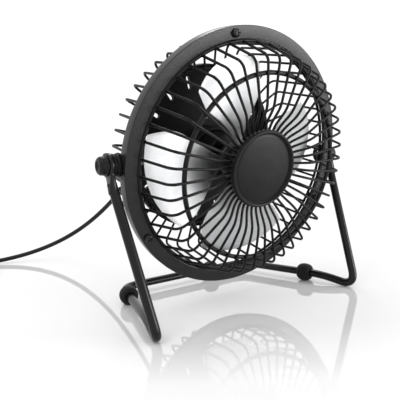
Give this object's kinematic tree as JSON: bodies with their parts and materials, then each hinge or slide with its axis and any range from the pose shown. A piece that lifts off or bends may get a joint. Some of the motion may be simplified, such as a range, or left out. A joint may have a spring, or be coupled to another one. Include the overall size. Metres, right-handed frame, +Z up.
{
  "type": "desk fan",
  "caption": "Small desk fan: caged rotor in a round metal ring that tilts between the eyes of a bent-rod floor stand, with a power lead and plug.",
  "frame": {"origin": "on the floor, under the centre of the fan's own box, its lead left out", "axes": "+Z up, +Y from the fan's face to its back, +X to the right as seen from the front; the head's pivot line lies along X"},
  "size_m": [0.2353, 0.2634, 0.1488],
  "materials": {
    "gloss_black": "gloss black paint on steel rod",
    "satin_charcoal": "satin charcoal paint on steel wire and sheet",
    "black_plastic": "fine-grained matt black moulding",
    "black_rubber": "soft black rubber",
    "blade_aluminium": "bright satin rolled aluminium",
    "steel": "plain bright steel",
    "brass": "sintered bronze bush"
  },
  "bodies": {
    "stand": {"stand_frame": "gloss_black", "foot_grommet_left": "black_rubber", "foot_grommet_right": "black_rubber", "foot_grommet_rear": "black_rubber", "power_cord": "black_rubber", "cord_coil": "black_rubber", "cord_tie": "black_plastic", "cord_tail": "black_rubber", "usb_plug_body": "black_plastic", "usb_plug_shell": "steel", "usb_plug_tongue": "black_plastic"},
    "head": {"front_guard": "gloss_black", "rear_guard": "gloss_black", "ring_frame": "satin_charcoal", "badge_disc": "satin_charcoal", "badge_back_plate": "steel", "badge_screw": "steel", "motor_can": "gloss_black", "motor_end_cap": "black_plastic", "bearing_front": "brass", "bearing_rear": "brass", "rear_housing": "black_plastic", "rear_cover": "black_plastic", "switch_bezel": "black_plastic", "strain_relief": "black_rubber", "flange_screw_1": "gloss_black", "flange_nut_1": "steel", "flange_screw_2": "gloss_black", "flange_nut_2": "steel", "flange_screw_3": "gloss_black", "flange_nut_3": "steel", "motor_screw_left": "steel", "motor_screw_right": "steel", "cover_screw_lower": "steel", "cover_screw_upper": "steel", "pivot_screw_left": "steel", "pivot_bush_left": "black_plastic", "cap_nut_left": "gloss_black", "pivot_screw_right": "steel", "pivot_bush_right": "black_plastic", "cap_nut_right": "gloss_black"},
    "rotor": {"fan_blades": "blade_aluminium", "rotor_hub": "black_plastic", "hub_cap": "black_plastic", "motor_shaft": "steel", "motor_armature": "steel"},
    "rocker": {"switch_rocker": "black_plastic"}
  },
  "joints": [
    {"name": "head_tilt", "type": "hinge", "parent": "stand", "child": "head", "pos_m": [0, -0.01085, 0.0813], "axis": [1, 0, 0], "range_deg": [-75, 30], "deforming": ["power_cord"]},
    {"name": "rotor_spin", "type": "hinge", "parent": "head", "child": "rotor", "pos_m": [0, -0.01085, 0.0813], "axis": [0, 0.9724, 0.2334], "continuous": true},
    {"name": "switch_rock", "type": "hinge", "parent": "head", "child": "rocker", "pos_m": [0.008, 0.02886, 0.09495], "axis": [1, 0, 0], "range_deg": [0, 12]}
  ]
}
